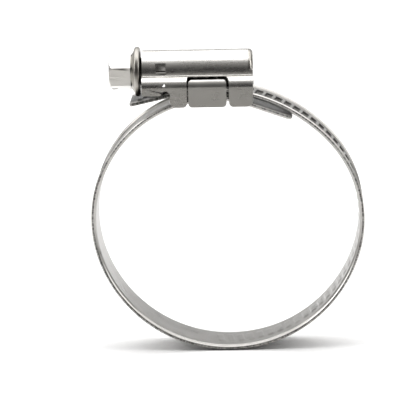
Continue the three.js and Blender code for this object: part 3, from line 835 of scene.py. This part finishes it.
def make_saddle(material):
    """The plate between the two layers of band, dished like them, with a tab up each side."""
    high = -BAND_THICKNESS / 2 - SADDLE_GAP
    low = high - SADDLE_SHEET
    tab_inner = SKIRT_OUTER - SADDLE_SHEET
    plate = [(-4.7, low), (4.7, low), (4.7, high), (-4.7, high)]
    wing = [(4.75, low), (5.65, low + 0.5), (6.6, low + 0.5), (6.6, high + 0.5), (6.0, high + 0.5), (5.1, high)]
    wing += [(-y, h) for y, h in wing[::-1]]

    def bent(section, left, right):
        points, faces = [], []
        steps = max(4, int((right - left) / 0.5))
        for i in range(steps + 1):
            reach = left + (right - left) * i / steps
            point, outward, _ = path_at(CROWN - math.asin(reach / SEAT_RADIUS) * SEAT_RADIUS)
            for y, h in section:
                spot = point + outward * h
                points.append((spot.x, y, spot.y))
        count = len(section)
        for i in range(steps):
            for k in range(count):
                m = (k + 1) % count
                faces.append((i * count + k, (i + 1) * count + k, (i + 1) * count + m, i * count + m))
        faces += [tuple(range(count)), tuple(range(steps * count, (steps + 1) * count))[::-1]]
        made = solid(points, faces)
        fix_normals(made)
        return made

    body = bent(plate, SADDLE_LEFT, SADDLE_RIGHT)
    combine(body, bent(wing, TAB_LEFT - SEAT_CROWN_X + 0.9, TAB_RIGHT - SEAT_CROWN_X - 0.9), "UNION")
    shoulder = (SKIRT_OUTER - SHOULDER_RADIUS, LEDGE_Z - SHOULDER_RADIUS)
    side = [(SKIRT_OUTER, FOOT_LOW - 1)] + arc(shoulder, SHOULDER_RADIUS, 0, 80, 14)
    side += arc(shoulder, SHOULDER_RADIUS - SADDLE_SHEET, 80, 0, 8) + [(tab_inner, FOOT_LOW - 1)]
    for sign in (1, -1):
        tab = extruded([(y * sign, z) for y, z in side], TAB_LEFT, TAB_RIGHT, "x")
        outline = rounded([(TAB_LEFT, FOOT_LOW, 0.8), (TAB_RIGHT, FOOT_LOW, 0.8),
                           (TAB_RIGHT, TAB_TOP, 0.8), (TAB_LEFT, TAB_TOP, 0.8)], 8)
        combine(tab, extruded(outline, -9, 9, "y"), "INTERSECT")
        combine(body, tab, "UNION")
    finish_edges(body, "saddle_sheet", material, 0.1, ["saddle"])
    shade_by_shape(body, [(sign * shoulder[0], shoulder[1], radius) for sign in (1, -1)
                          for radius in (SHOULDER_RADIUS, SHOULDER_RADIUS - SADDLE_SHEET)])
    return body


# ---------------------------------------------------------------- the screw

def make_screw(material):
    """Hexagon head with a slot, a dished flange, and the worm with its pin."""
    corner = HEX_FLATS / 2 / math.cos(math.radians(30))
    turns = [math.radians(90 + HEX_TURN + 60 * i) for i in range(6)]
    hexagon = [(corner * math.cos(turn), SCREW_Z + corner * math.sin(turn)) for turn in turns]
    head = extruded(hexagon, HEX_LEFT, HEX_RIGHT + 0.3, "x")
    chamfer = [(HEX_LEFT - 0.1, 0.0), (HEX_LEFT - 0.1, corner - 0.75), (HEX_LEFT + 0.12, corner - 0.5),
               (HEX_LEFT + 0.5, corner - 0.1), (HEX_LEFT + 0.8, corner + 0.2), (HEX_RIGHT + 0.3, corner + 0.2),
               (HEX_RIGHT + 0.3, 0.0)]
    combine(head, turned(chamfer, 72), "INTERSECT")
    dimple = [(HEX_LEFT - 0.2, 0.0), (HEX_LEFT - 0.2, 2.5), (HEX_LEFT + 0.22, 2.1), (HEX_LEFT + 0.22, 0.0)]
    combine(head, turned(dimple, 48), "DIFFERENCE")
    slot = [(HEX_LEFT - 1, -SLOT_WIDTH / 2), (HEX_LEFT + SLOT_DEPTH, -SLOT_WIDTH / 2),
            (HEX_LEFT + SLOT_DEPTH, SLOT_WIDTH / 2), (HEX_LEFT - 1, SLOT_WIDTH / 2)]
    groove = solid([(x, y, z) for z in (20, 42) for x, y in slot],
                   [(0, 1, 2, 3), (7, 6, 5, 4), (0, 4, 5, 1), (1, 5, 6, 2), (2, 6, 7, 3), (3, 7, 4, 0)])
    fix_normals(groove)
    combine(head, groove, "DIFFERENCE")
    finish_edges(head, "screw_hexagon", material, 0.16, ["worm_screw"], 28.0)
    shade_by_shape(head, [], 0.25)

    rim = FLANGE_RADIUS - 0.62
    outline = [(HEX_RIGHT - 0.3, 0.0), (HEX_RIGHT - 0.3, 3.1), (HEX_RIGHT + 0.05, 3.25), (HEX_RIGHT + 0.35, 3.6),
               (HEX_RIGHT + 0.62, 4.05), (HEX_RIGHT + 0.82, 4.35)]
    outline += arc((FLANGE_LEFT + 0.62, rim), 0.62, 195, 90, 9)
    outline += arc((FLANGE_RIGHT - 0.5, FLANGE_RADIUS - 0.5), 0.5, 90, 0, 7)
    outline += [(FLANGE_RIGHT, JOURNAL_RADIUS), (FLANGE_RIGHT + 3.2, JOURNAL_RADIUS),
                (FLANGE_RIGHT + 3.4, JOURNAL_RADIUS - 0.2), (FLANGE_RIGHT + 3.5, WORM_RADIUS - THREAD_HEIGHT),
                (PIN_END - 2.2, WORM_RADIUS - THREAD_HEIGHT), (PIN_END - 1.9, PIN_RADIUS),
                (PIN_END - 0.3, PIN_RADIUS), (PIN_END, PIN_RADIUS - 0.3), (PIN_END, 0.0)]
    shank = turned(outline, 96)
    shank.name = shank.data.name = "screw_shank"
    shank.data.shade_smooth()
    even = shank.modifiers.new("even", "WEIGHTED_NORMAL")
    even.weight = 60
    shank.data.set_sharp_from_angle(angle=math.radians(50))
    apply_modifiers(shank)
    shank.data.materials.append(material)

    points, faces = [], []
    first, last = FLANGE_RIGHT + 3.4 + 0.9, PIN_END - 2.0 - 0.9
    turns = (last - first) / PITCH
    per_turn = 48
    steps = int(turns * per_turn)
    core = WORM_RADIUS - THREAD_HEIGHT - 0.15
    section = [(-0.6, core), (-0.5, core + 0.15), (-0.27, WORM_RADIUS - 0.06), (-0.2, WORM_RADIUS),
               (0.2, WORM_RADIUS), (0.27, WORM_RADIUS - 0.06), (0.5, core + 0.15), (0.6, core)]
    for i in range(steps + 1):
        along = first + (last - first) * i / steps
        fade = min(1.0, 6 * i / steps, 6 * (steps - i) / steps)
        turn = (along - SEAT_CROWN_X) / PITCH * 2 * math.pi - math.pi / 2
        for x, radius in section:
            depth = core + (radius - core) * max(fade, 0.05)
            points.append((along + x, depth * math.cos(turn), SCREW_Z + depth * math.sin(turn)))
    count = len(section)
    for i in range(steps):
        for k in range(count):
            m = (k + 1) % count
            faces.append((i * count + k, (i + 1) * count + k, (i + 1) * count + m, i * count + m))
    faces += [tuple(range(count)), tuple(range(steps * count, (steps + 1) * count))[::-1]]
    thread = make_object("screw_thread", points, faces, material)
    fix_normals(thread)
    return [head, shank, thread]


def make_backdrop(material):
    """White paper that lies under the clamp, curves up behind it and ends just in front of it."""
    low = cad_box[0][2] - 0.00002
    front, bend, back, top = -0.085, 0.75, 1.15, 1.5
    line = [(front, low)] + [(bend + (back - bend) * math.sin(math.radians(9 * i)),
                              low + (back - bend) * (1 - math.cos(math.radians(9 * i)))) for i in range(11)]
    line.append((back, top))
    points = [(x, y, z) for y, z in line for x in (-3.0, 3.0)]
    paper = bpy.data.objects.new("paper", bpy.data.meshes.new("paper"))
    paper.data.from_pydata(points, [], [(2 * i, 2 * i + 1, 2 * i + 3, 2 * i + 2) for i in range(len(line) - 1)])
    paper.data.shade_smooth()
    paper.data.materials.append(material)
    bpy.context.scene.collection.objects.link(paper)


# ---------------------------------------------------------------- putting it together

place_camera()

band_steel = worn_steel("cold_rolled_strip_steel", (5.556, 0.1923, 1000.0), ("84827F", "A09E9B", "B4B2AF"), 0.30,
                        0.000012, strip_place, 0.7, band=True)
sheet_steel = worn_steel("pressed_sheet_steel", (4.167, 0.1786, 0.1786), ("8F8C86", "ACA9A3", "C2BFB9"), 0.27,
                         0.00002, object_place, 1.2)
saddle_steel = worn_steel("pressed_saddle_steel", (4.167, 0.1786, 0.1786), ("8A8782", "A6A39D", "BAB7B1"), 0.30,
                          0.00002, object_place, 1.0)
screw_steel = worn_steel("cold_headed_screw_steel", (0.1923, 1.111, 1.111), ("88857F", "A29F99", "B8B5AE"), 0.31,
                         0.00002, object_place, 1.2)

make_band(band_steel)
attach(make_housing(sheet_steel), "housing_body")
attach(make_saddle(saddle_steel), "housing_body")
for piece in make_screw(screw_steel):
    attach(piece, "screw_body")

make_backdrop(floor_paper())

add_light("overhead_panel", (0.0, 0.2, 0.7), (0, 0.1, 0), (1.8, 1.05), 11.5)
add_light("left_panel", (-0.85, -0.2, 0.45), (0, 0, 0), (0.35, 0.6), 3.0)
add_light("right_panel", (0.85, -0.1, 0.4), (0, 0, 0), (0.3, 0.5), 2.0)

bpy.context.scene.view_settings.view_transform = "Standard"

world = bpy.data.worlds.new("studio")
bpy.context.scene.world = world
world.use_nodes = True
sky = world.node_tree
sky.nodes.clear()
direction = node(sky, "ShaderNodeSeparateXYZ", {0: node(sky, "ShaderNodeTexCoord").outputs["Generated"]})
height = node(sky, "ShaderNodeMapRange", {"Value": direction.outputs["Z"], "From Min": -1.0, "From Max": 1.0})
shade = ramp(sky, height.outputs["Result"], [(0.0, "A4A29E"), (0.398, "D2D0CC"), (0.43, "302F2F"), (0.66, "343333"),
                                             (0.88, "8E8D8B"), (1.0, "E8E8E8")])
node(sky, "ShaderNodeOutputWorld", {"Surface": node(sky, "ShaderNodeBackground", {
    "Color": shade, "Strength": 1.0}).outputs["Background"]})
